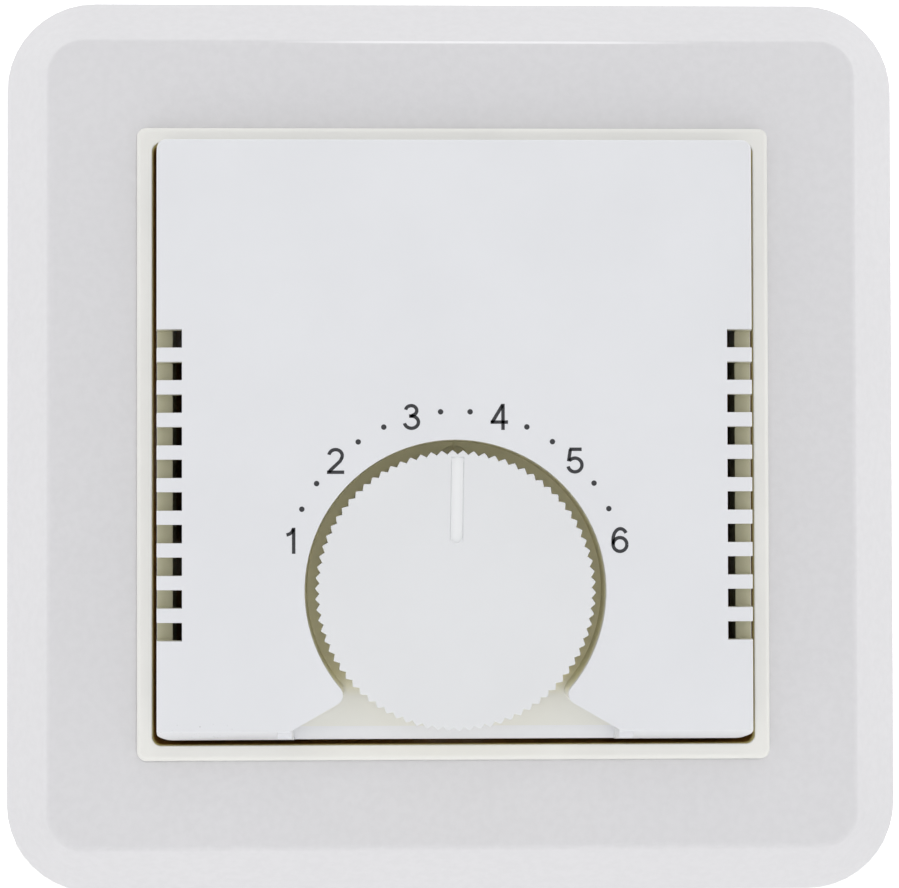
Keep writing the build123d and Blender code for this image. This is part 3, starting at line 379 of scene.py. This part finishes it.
# ---- Materials ----------------------------------------------------------------------------
class Finish:
    """A node material on Object coordinates, built up by short calls."""

    def __init__(self, name, roughness, metallic=0.0):
        self.material = bpy.data.materials.new(name)
        self.material.use_nodes = True
        self.nodes = self.material.node_tree.nodes
        self.links = self.material.node_tree.links
        self.shader = self.nodes["Principled BSDF"]
        self.shader.inputs["Roughness"].default_value = roughness
        self.shader.inputs["Metallic"].default_value = metallic
        self.place = self.nodes.new("ShaderNodeTexCoord").outputs["Object"]

    def noise(self, scale, detail=3.0, stretch=(1, 1, 1)):
        """Noise whose features repeat about scale times in a metre."""
        mapping = self.nodes.new("ShaderNodeMapping")
        mapping.inputs["Scale"].default_value = stretch
        self.links.new(self.place, mapping.inputs["Vector"])
        noise = self.nodes.new("ShaderNodeTexNoise")
        noise.inputs["Scale"].default_value = scale
        noise.inputs["Detail"].default_value = detail
        self.links.new(mapping.outputs["Vector"], noise.inputs["Vector"])
        return noise.outputs["Fac"]

    def spots(self, scale, size):
        """One near each of many scattered points, and zero elsewhere."""
        cells = self.nodes.new("ShaderNodeTexVoronoi")
        cells.inputs["Scale"].default_value = scale
        self.links.new(self.place, cells.inputs["Vector"])
        return self.remap(cells.outputs["Distance"], (0, 1), (size, 0))

    def remap(self, value, first, second):
        """Straight-line map of a value between two (input, output) stops, flat beyond them."""
        node = self.nodes.new("ShaderNodeMapRange")
        (low_in, low_out), (high_in, high_out) = sorted((first, second))
        node.inputs["From Min"].default_value = low_in
        node.inputs["From Max"].default_value = high_in
        node.inputs["To Min"].default_value = low_out
        node.inputs["To Max"].default_value = high_out
        self.links.new(value, node.inputs["Value"])
        return node.outputs["Result"]

    def axis(self, name):
        """One coordinate of the surface point."""
        split = self.nodes.new("ShaderNodeSeparateXYZ")
        self.links.new(self.place, split.inputs["Vector"])
        return split.outputs[name]

    def between(self, value, low, high, soft):
        """One where a value lies from low to high, fading to zero over a soft margin."""
        above = self.remap(value, (low - soft, 0), (low, 1))
        below = self.remap(value, (high, 1), (high + soft, 0))
        return self.both(above, below)

    def both(self, first, second):
        """Where two masks overlap: their product."""
        return self.math("MULTIPLY", first, second)

    def math(self, operation, first, second=0.0):
        """A function of one value, or of two."""
        node = self.nodes.new("ShaderNodeMath")
        node.operation = operation
        for socket, value in zip(node.inputs, (first, second)):
            if isinstance(value, (int, float)):
                socket.default_value = value
            else:
                self.links.new(value, socket)
        return node.outputs["Value"]

    def blend(self, factor, first, second):
        """A colour between two, each a colour or another blend."""
        node = self.nodes.new("ShaderNodeMix")
        node.data_type = "RGBA"
        self.links.new(factor, node.inputs["Factor"])
        for socket, value in ((node.inputs[6], first), (node.inputs[7], second)):
            if isinstance(value, bpy.types.NodeSocket):
                self.links.new(value, socket)
            else:
                socket.default_value = (*value, 1)
        return node.outputs[2]

    def base(self, value):
        """Use a value as the base colour."""
        self.links.new(value, self.shader.inputs["Base Color"])

    def roughness(self, value):
        """Use a value as the roughness."""
        self.links.new(value, self.shader.inputs["Roughness"])

    def bump(self, height, depth):
        """Raise the surface by a height map times a depth."""
        node = self.nodes.new("ShaderNodeBump")
        node.inputs["Distance"].default_value = depth
        self.links.new(height, node.inputs["Height"])
        self.links.new(node.outputs["Normal"], self.shader.inputs["Normal"])


def tones(rgb, change):
    """A darker and a lighter tone of one colour."""
    rgb = np.asarray(rgb[:3], float)
    return tuple(rgb * (1 - change)), tuple(np.minimum(rgb * (1 + change), 1))


def cloudy(finish, rgb, change):
    """Faint patches between a darker and a lighter tone of one colour."""
    dark, light = tones(rgb, change)
    return finish.blend(finish.remap(finish.noise(90, 4), (0.35, 0), (0.65, 1)), dark, light)


def matt_grain(finish, roughness, grain=9000, depth=0.004 * MM):
    """Spark-eroded grain: uneven roughness and a fine bump."""
    uneven = finish.remap(finish.noise(2500), (0.3, roughness - 0.05), (0.7, roughness + 0.05))
    finish.roughness(uneven)
    finish.bump(finish.noise(grain, 2), depth)


def moulded_plastic(name, rgb, roughness, change=0.02):
    """Moulding of one even colour with faint cloudiness and a fine matt grain."""
    finish = Finish(name, roughness)
    finish.base(cloudy(finish, rgb, change))
    matt_grain(finish, roughness)
    return finish


def frame_finish(rgb, bevel):
    """Frame plastic: coarser mottling than the other mouldings, on a fine grain."""
    finish = Finish("frame_plastic_grain", 0.42)
    mottled = finish.remap(finish.noise(1400, 5), (0.38, 0), (0.62, 1))
    dark, light = tones(rgb, 0.014)
    tone = finish.blend(mottled, dark, light)
    patchy = finish.remap(finish.noise(60, 3), (0.3, 0), (0.7, 0.25))
    tone = finish.blend(patchy, tone, tones(rgb, 0.05)[0])
    # Painted highlight: the upper ridge is lightened along its middle.
    ridge = FRAME_HIGH.z - bevel
    ridge_highlight = finish.both(
        finish.between(finish.axis("Z"), ridge - 0.06 * MM, ridge + 0.08 * MM, 0.09 * MM),
        finish.between(finish.axis("X"), -7 * MM, 13 * MM, 9 * MM),
    )
    finish.base(finish.blend(ridge_highlight, tone, tones(rgb, 0.3)[1]))
    matt_grain(finish, 0.42, 5200, 0.007 * MM)
    return finish


def ring_finish(rgb, rim, gap):
    """Ring plastic, with painted yellow light and then painted brown shade down the walls that face
    the cover.
    """
    finish = Finish("ring_plastic_grain", 0.38)
    depth = finish.math("ADD", finish.axis("Y"), RING_FRONT)
    walls = finish.both(
        finish.between(finish.axis("X"), -RING_OPENING, RING_OPENING, 0.05 * MM),
        finish.between(finish.axis("Z"), -RING_OPENING, RING_OPENING, 0.05 * MM),
    )
    tone = cloudy(finish, rgb, 0.02)
    # Painted light, then painted shade: yellow just below the front, brown deeper down the walls.
    for colour_below, start, end in ((rim, 0.1 * MM, 0.35 * MM), (gap, 0.8 * MM, 1.5 * MM)):
        below = finish.both(finish.remap(depth, (start, 0), (end, 1)), walls)
        tone = finish.blend(below, tone, colour_below)
    finish.base(tone)
    matt_grain(finish, 0.38)
    return finish


def cover_finish(rgb, recess, notch, slot, gap):
    """Cover plastic with painted warm shade in the recess and slots, painted dark shade beside the
    ring, and a few specks.
    """
    finish = Finish("cover_plastic_grain", 0.4)
    x, z = finish.axis("X"), finish.axis("Z")
    up = finish.math("SUBTRACT", z, KNOB_Z)
    squares = finish.math("ADD", finish.math("MULTIPLY", x, x), finish.math("MULTIPLY", up, up))
    from_knob = finish.math("SQRT", squares)
    depth = finish.math("ADD", finish.axis("Y"), COVER_FRONT)
    below_face = finish.remap(depth, (0.35 * MM, 0), (1.3 * MM, 1))
    side = COVER_HIGH.x
    # The distance from the middle, less the lean of the sides, so that a mask can end at them.
    lean = finish.remap(depth, (0, 0), (FLARE_DEPTH, COVER_FLARE))
    reach = finish.math("SUBTRACT", finish.math("ABSOLUTE", x), lean)
    # Painted shade: below the face, the recess and notch take warm tones for the shade in them.
    bowl = finish.both(
        finish.between(x, -16 * MM, 16 * MM, 0.1 * MM),
        finish.between(z, COVER_LOW.z + 1.2 * MM, 1 * MM, 0.04 * MM),
    )
    # Painted shade: the slots take a dark olive tone for the shade in them.
    slots = finish.both(
        finish.between(reach, side - 2.8 * MM, side - COVER_FLARE - 0.04 * MM, 0.03 * MM),
        finish.between(z, -17.0 * MM, 9.6 * MM, 0.1 * MM),
    )
    # Painted shade: the ring round the knob takes the olive tone of its deeper shade.
    olive = finish.both(
        finish.remap(from_knob, (RECESS_RADIUS, 1), (RECESS_RADIUS + 0.9 * MM, 0)),
        finish.remap(up, (-9.3 * MM, 0), (-7.3 * MM, 1)),
    )
    tone = cloudy(finish, rgb, 0.012)
    for area, warmer in ((bowl, finish.blend(olive, notch, recess)), (slots, slot)):
        tone = finish.blend(finish.both(below_face, area), tone, warmer)
    # Painted shade: the cover's sides hidden behind the ring turn brown for the deep shade there.
    hidden = finish.remap(depth, (4.75 * MM, 0), (5.6 * MM, 1))
    tone = finish.blend(hidden, tone, gap)
    corner = finish.both(
        finish.between(x, -side, -side + 5 * MM, 2 * MM),
        finish.between(z, COVER_LOW.z, COVER_LOW.z + 1.4 * MM, 0.6 * MM),
    )
    specks = finish.both(finish.spots(2100, 0.16), corner)
    finish.base(finish.blend(specks, tone, (0.16, 0.15, 0.14)))
    matt_grain(finish, 0.4)
    return finish


def knob_finish(rgb, pointer, side, size):
    """Knob plastic, lighter in the pointer groove, which leans by the setting, with a painted
    highlight on the toothed side and painted shade along the groove's sides.
    """
    setting = size.knob_setting
    half_width = size.pointer_width / 2
    outer = size.pointer_outer
    finish = Finish("knob_plastic_grain", 0.4)
    x = finish.axis("X")
    z = finish.math("SUBTRACT", finish.axis("Z"), KNOB_Z)
    across = finish.math(
        "SUBTRACT",
        finish.math("MULTIPLY", x, float(np.cos(setting))),
        finish.math("MULTIPLY", z, float(np.sin(setting))),
    )
    depth = finish.math("ADD", finish.axis("Y"), COVER_FRONT)
    groove = finish.both(
        finish.between(across, -half_width, half_width, 0.02 * MM),
        finish.between(depth, 0.14 * MM, 0.6 * MM, 0.05 * MM),
    )
    groove = finish.both(groove, finish.between(z, 0, outer, 0.05 * MM))
    # Painted shade: thin darker lines along the groove's sides stand in for the shade at its lips.
    from_middle = finish.math("ABSOLUTE", across)
    edge = finish.between(from_middle, half_width - 0.03 * MM, half_width + 0.05 * MM, 0.03 * MM)
    edge = finish.both(edge, finish.between(z, 4.3 * MM, outer - 0.5 * MM, 0.3 * MM))
    # Painted highlight: below the face, the toothed side takes the lighter, warmer side tone.
    below_face = finish.remap(depth, (0.25 * MM, 0), (0.7 * MM, 1))
    tone = finish.blend(below_face, cloudy(finish, rgb, 0.012), side)
    tone = finish.blend(edge, finish.blend(groove, tone, pointer), tones(rgb, 0.09)[0])
    finish.base(tone)
    matt_grain(finish, 0.4)
    return finish


def plated_metal(name, rgb, second_rgb, roughness, scale=220):
    """Plated sheet or wire: soft patches between two tones, drawn lines and small scuffs."""
    finish = Finish(name, roughness, metallic=1.0)
    patches = finish.remap(finish.noise(scale, 5), (0.38, 0), (0.62, 1))
    finish.base(finish.blend(patches, rgb, second_rgb))
    scuffs = finish.noise(3500, 4)
    finish.roughness(finish.remap(scuffs, (0.3, roughness - 0.08), (0.7, roughness + 0.1)))
    finish.bump(finish.noise(1200, 4, stretch=(1, 1, 9)), 0.006 * MM)
    return finish


def dress(node, finish):
    """Give a CAD node its finish."""
    slots = frame["nodes"][node].data.materials
    if len(slots) == 0:
        slots.append(finish.material)
    for i in range(len(slots)):
        slots[i] = finish.material


# ---- Operators: one for each piece or group of like pieces ---------------------------------
class THERMOSTAT_OT_outer_frame(bpy.types.Operator):
    """Square frame with a bevelled border, swept from one closed profile"""

    bl_idname = "thermostat.outer_frame"
    bl_label = "Outer frame"

    def execute(self, context):
        size = context.scene.thermostat_sizes
        half = FRAME_HIGH.x
        top = -FRAME_LOW.y
        wall = size.frame_wall
        aperture = half - size.frame_aperture / 2
        lip = aperture + 0.55 * MM
        collar = aperture - 1.3 * MM
        seat = size.ring_shoulder
        seat_back = seat - 1.3 * MM
        corners = [
            (0, 0),
            (0, size.frame_edge),
            (size.frame_bevel, top),
            (aperture, top),
            (aperture, seat),
            (lip, seat),
            (lip, seat_back),
            (collar, seat_back),
            (collar, top - wall),
            (size.frame_bevel + wall / 2, top - wall),
            (wall, size.frame_edge - wall / 4),
            (wall, 0),
        ]
        radii = np.array([0.15, 0.8, 0.9, 0.25, 0.1, 0.1, 0.1, 0.1, 0.3, 0.4, 0.4, 0.15]) * MM
        piece = square_sweep(
            "frame_shell",
            half,
            soft_profile(corners, radii),
            (0, size.frame_bevel, aperture),
            (size.frame_corner, size.frame_ridge_corner, 0.95 * MM),
        )
        face_outwards(piece)
        weigh_normals(piece)
        shades = context.scene.thermostat_colours
        finish = frame_finish(shades.frame, size.frame_bevel)
        piece.data.materials.append(finish.material)
        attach(piece, "base")
        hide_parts("outer_frame")
        return {"FINISHED"}


class THERMOSTAT_OT_adapter_ring(bpy.types.Operator):
    """Square adapter ring with softly rounded edges, and the legs under its corners"""

    bl_idname = "thermostat.adapter_ring"
    bl_label = "Adapter ring"

    def execute(self, context):
        piece = cad_copy("adapter_ring", "ring_trim", 0.12 * MM)
        shades = context.scene.thermostat_colours
        finish = ring_finish(shades.ring, shades.rim, shades.gap)
        piece.data.materials.append(finish.material)
        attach(piece, "base")
        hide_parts("adapter_ring")
        return {"FINISHED"}


class THERMOSTAT_OT_cover(bpy.types.Operator):
    """Vented cover with soft edges, and warm shade painted down in the knob recess"""

    bl_idname = "thermostat.cover"
    bl_label = "Cover"

    def execute(self, context):
        piece = cad_copy("cover", "cover_shell", 0.1 * MM)
        shades = context.scene.thermostat_colours
        finish = cover_finish(shades.cover, shades.recess, shades.notch, shades.slot, shades.gap)
        piece.data.materials.append(finish.material)
        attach(piece, "base")
        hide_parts("cover")
        return {"FINISHED"}


class THERMOSTAT_OT_knob(bpy.types.Operator):
    """Toothed knob with a hollow back and a pointer groove"""

    bl_idname = "thermostat.knob"
    bl_label = "Knob"

    def execute(self, context):
        size = context.scene.thermostat_sizes
        rim = KNOB_HIGH.z - KNOB_Z
        foot = COVER_FRONT - 4.1 * MM
        wall = 1.5 * MM
        cap_back = COVER_FRONT - wall
        skirt = rim - size.tooth_depth - wall
        edge = 0.12 * MM
        break_edge = 0.1 * MM
        turn = np.linspace(0, np.pi / 2, 5)
        rounded = [
            (rim - edge + edge * np.cos(a), COVER_FRONT - edge + edge * np.sin(a), 1)
            for a in turn
        ]
        rows = [
            (0.05 * MM, cap_back, 0),
            (skirt, cap_back, 0),
            (skirt, foot + break_edge, 0),
            (skirt + break_edge, foot, 0),
            (rim - break_edge, foot, 1),
            (rim, foot + break_edge, 1),
            *rounded,
            (rim - 0.5 * MM, COVER_FRONT, 0),
        ]
        shell = toothed_rows(rows, size)
        groove = groove_loops(size)

        # The face joins the last row of the shell to the first loop of the groove.
        around = shell.shape[1]
        last_row = (len(rows) - 1) * around
        groove_start = shell.shape[0] * around
        groove_floor = groove_start + (groove.shape[0] - 1) * groove.shape[1]
        outlines = [[Vector(p) for p in shell[-1]], [Vector(p) for p in groove[0]]]
        face = np.array(tessellate_polygon(outlines))
        face = np.where(face < around, last_row + face, groove_start + face - around)
        faces = [
            *grid_faces(*shell.shape[:2]).tolist(),
            *(grid_faces(*groove.shape[:2]) + groove_start).tolist(),
            *face.tolist(),
            list(range(groove_floor, groove_floor + groove.shape[1])),
            list(range(around)),
        ]
        points = np.concatenate([shell.reshape(-1, 3), groove.reshape(-1, 3)])
        piece = new_piece("knob_cap", points, faces)
        face_outwards(piece)
        weigh_normals(piece)
        shades = context.scene.thermostat_colours
        finish = knob_finish(shades.knob, shades.pointer, shades.knob_side_highlight, size)
        piece.data.materials.append(finish.material)
        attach(piece, "knob_shaft")
        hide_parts("knob")
        return {"FINISHED"}


class THERMOSTAT_OT_scale(bpy.types.Operator):
    """Printed numerals and dots on the cover's face, as a thin layer of ink"""

    bl_idname = "thermostat.scale"
    bl_label = "Printed scale"

    def execute(self, context):
        size = context.scene.thermostat_sizes
        shades = context.scene.thermostat_colours
        ink = Finish("scale_ink", 0.45)
        dark, light = tones(shades.ink, 0.25)
        ink.base(ink.blend(ink.remap(ink.noise(4000, 3), (0.3, 0), (0.7, 1)), dark, light))
        middle = KNOB_Z + size.scale_rise

        def printed(name, points, faces, turn):
            """Lay a flat shape on the face, with its middle at an angle on the scale."""
            centre = (points.min(0) + points.max(0)) / 2
            x = points[:, 0] - centre[0] + size.scale_radius * np.sin(turn)
            z = points[:, 1] - centre[1] + middle + size.scale_radius * np.cos(turn)
            placed = np.stack([x, np.full_like(x, -COVER_FRONT - INK_THICKNESS), z], axis=-1)
            piece = new_piece(name, placed, faces, smooth=False)
            piece.data.materials.append(ink.material)
            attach(piece, "base")

        pen = size.pen_width / size.numeral_height
        numerals = numeral_strokes(pen)
        middle_value = (1 + len(numerals)) / 2
        for value, strokes in numerals.items():
            points, faces = pen_strokes(strokes, pen)
            turn = size.numeral_step * (value - middle_value)
            turn += size.outer_shift * ((value == len(numerals)) - (value == 1))
            printed(f"numeral_{value}", points * size.numeral_height, faces, turn)
        around = np.arange(24) * np.pi / 12
        disc = np.stack([np.cos(around), np.sin(around)], axis=-1) * size.dot_size / 2
        for between in range(-2, 3):
            for side in (-1, 1):
                name = f"dot_{30 * between + 5 * side + 65:03d}"
                turn = size.numeral_step * between + size.dot_offset * side
                printed(name, disc, [tuple(range(24))], turn)
        return {"FINISHED"}


class THERMOSTAT_OT_inner_pieces(bpy.types.Operator):
    """Finishes for the carried-over metal and plastic pieces"""

    bl_idname = "thermostat.inner_pieces"
    bl_label = "Inner pieces"

    def execute(self, context):
        black = moulded_plastic("black_base_plastic", (0.028, 0.028, 0.03), 0.5, change=0.2)
        natural = moulded_plastic("natural_plastic", (0.72, 0.70, 0.62), 0.45)
        red = moulded_plastic("red_ring_plastic", (0.55, 0.05, 0.04), 0.45, change=0.08)
        blue = moulded_plastic("blue_ring_plastic", (0.04, 0.12, 0.45), 0.45, change=0.08)
        ferrite = moulded_plastic("sintered_magnet", (0.07, 0.07, 0.08), 0.6, change=0.3)
        lacquer = moulded_plastic("resistor_lacquer", (0.42, 0.30, 0.16), 0.35, change=0.15)
        zinc = plated_metal("bright_zinc", (0.62, 0.64, 0.67), (0.72, 0.73, 0.74), 0.32)
        yellow = plated_metal("yellow_zinc", (0.62, 0.48, 0.20), (0.70, 0.52, 0.36), 0.36, 120)
        spring = plated_metal("spring_steel_strip", (0.42, 0.42, 0.43), (0.5, 0.5, 0.5), 0.3)
        brass = plated_metal("stamped_brass", (0.72, 0.53, 0.22), (0.78, 0.60, 0.30), 0.3)
        silver = plated_metal("contact_silver", (0.85, 0.84, 0.80), (0.75, 0.74, 0.70), 0.25)
        bimetal = plated_metal("rolled_bimetal", (0.55, 0.50, 0.42), (0.62, 0.60, 0.56), 0.35)
        wear = {
            black: ("base_housing", "rear_cover"),
            natural: ("spindle", "cam_disc"),
            red: ("lower_limit_ring",),
            blue: ("upper_limit_ring",),
            ferrite: ("magnet",),
            lacquer: ("feedback_resistor",),
            zinc: (
                "cover_screw",
                "setting_lever",
                "lever_pivot_pin",
                "armature",
                "terminal_screws",
                "rear_cover_screws",
                "plate_rivets",
            ),
            yellow: ("support_plate",),
            spring: ("retaining_clip", "lever_spring"),
            brass: (
                "spindle_bush",
                "bimetal_bracket",
                "calibration_screw",
                "conductor_strips",
                "terminal_clamps",
            ),
            silver: ("fixed_contact", "moving_contact"),
            bimetal: ("bimetal_strip",),
        }
        for finish, nodes in wear.items():
            for node in nodes:
                dress(node, finish)
        return {"FINISHED"}


def softbox(name, place, width, height, power):
    """A rectangular lamp that faces the middle of the wall surface."""
    light = bpy.data.lights.new(name, "AREA")
    light.shape = "RECTANGLE"
    light.size = width
    light.size_y = height
    light.energy = power
    lamp = bpy.data.objects.new(name, light)
    lamp.location = place
    lamp.rotation_euler = (-Vector(place)).to_track_quat("-Z", "Y").to_euler()
    bpy.context.scene.collection.objects.link(lamp)


class THERMOSTAT_OT_stage(bpy.types.Operator):
    """Pale floor, soft studio light and the camera"""

    bl_idname = "thermostat.stage"
    bl_label = "Stage"

    def execute(self, context):
        scene = context.scene
        scene.view_settings.view_transform = "Standard"
        world = bpy.data.worlds.new("studio")
        world.use_nodes = True
        nodes, links = world.node_tree.nodes, world.node_tree.links
        # A light tent: brightest behind the object, dimmer where the camera stands.
        direction = nodes.new("ShaderNodeTexCoord").outputs["Generated"]
        split = nodes.new("ShaderNodeSeparateXYZ")
        fade = nodes.new("ShaderNodeMapRange")
        fade.inputs["From Min"].default_value = -1
        fade.inputs["To Min"].default_value = 0.52
        fade.inputs["To Max"].default_value = 1.75
        links.new(direction, split.inputs["Vector"])
        links.new(split.outputs["Y"], fade.inputs["Value"])
        links.new(fade.outputs["Result"], nodes["Background"].inputs["Strength"])
        nodes["Background"].inputs["Color"].default_value = (1, 1, 1, 1)
        scene.world = world

        floor_z = CAD_BOX[0][2] - 700 * MM
        reach = 4.0
        signs = ((-1, -1), (1, -1), (1, 1), (-1, 1))
        corners = [(reach * x, reach * y, floor_z) for x, y in signs]
        floor = new_piece("floor", corners, [(0, 1, 2, 3)], smooth=False)
        pale = Finish("pale_floor", 0.8)
        pale.base(pale.blend(pale.noise(3), (0.9, 0.9, 0.9), (0.95, 0.95, 0.95)))
        floor.data.materials.append(pale.material)

        softbox("key_light", (-0.05, -0.55, 0.22), 0.45, 0.4, 0.26)
        softbox("strip_light", (0.022, -0.35, 0.35), 0.083, 0.02, 0.05)
        softbox("fill_light", (0.03, -0.55, -0.25), 0.45, 0.4, 0.09)

        camera_data = bpy.data.cameras.new("camera")
        camera_data.sensor_width = 36.0
        camera_data.lens = 74.79
        camera_data.shift_x = 0.01995
        camera_data.shift_y = 0.04748
        camera_data.clip_start = 0.005
        camera = bpy.data.objects.new("camera", camera_data)
        camera.location = (-4.96 * MM, -172.06 * MM, -5.92 * MM)
        camera.rotation_euler = np.radians((90.758, 0.116, -1.067))
        scene.collection.objects.link(camera)
        scene.camera = camera
        return {"FINISHED"}


class THERMOSTAT_PT_sidebar(bpy.types.Panel):
    """Lists the operators that build the thermostat"""

    bl_idname = "THERMOSTAT_PT_sidebar"
    bl_label = "Thermostat"
    bl_space_type = "VIEW_3D"
    bl_region_type = "UI"
    bl_category = "Thermostat"

    def draw(self, context):
        column = self.layout.column()
        for operator in OPERATORS:
            column.operator(operator.bl_idname)


OPERATORS = (
    THERMOSTAT_OT_outer_frame,
    THERMOSTAT_OT_adapter_ring,
    THERMOSTAT_OT_cover,
    THERMOSTAT_OT_knob,
    THERMOSTAT_OT_scale,
    THERMOSTAT_OT_inner_pieces,
    THERMOSTAT_OT_stage,
)
CLASSES = (ThermostatSizes, ThermostatColours, *OPERATORS, THERMOSTAT_PT_sidebar)


def register():
    """Register the classes and hang the settings on the scene."""
    for cls in CLASSES:
        bpy.utils.register_class(cls)
    bpy.types.Scene.thermostat_sizes = PointerProperty(type=ThermostatSizes)
    bpy.types.Scene.thermostat_colours = PointerProperty(type=ThermostatColours)


def unregister():
    """Undo register."""
    del bpy.types.Scene.thermostat_colours
    del bpy.types.Scene.thermostat_sizes
    for cls in reversed(CLASSES):
        bpy.utils.unregister_class(cls)


def main():
    """Build everything in order."""
    register()
    for operator in OPERATORS:
        group, name = operator.bl_idname.split(".")
        getattr(getattr(bpy.ops, group), name)()


if __name__ == "__main__":
    main()
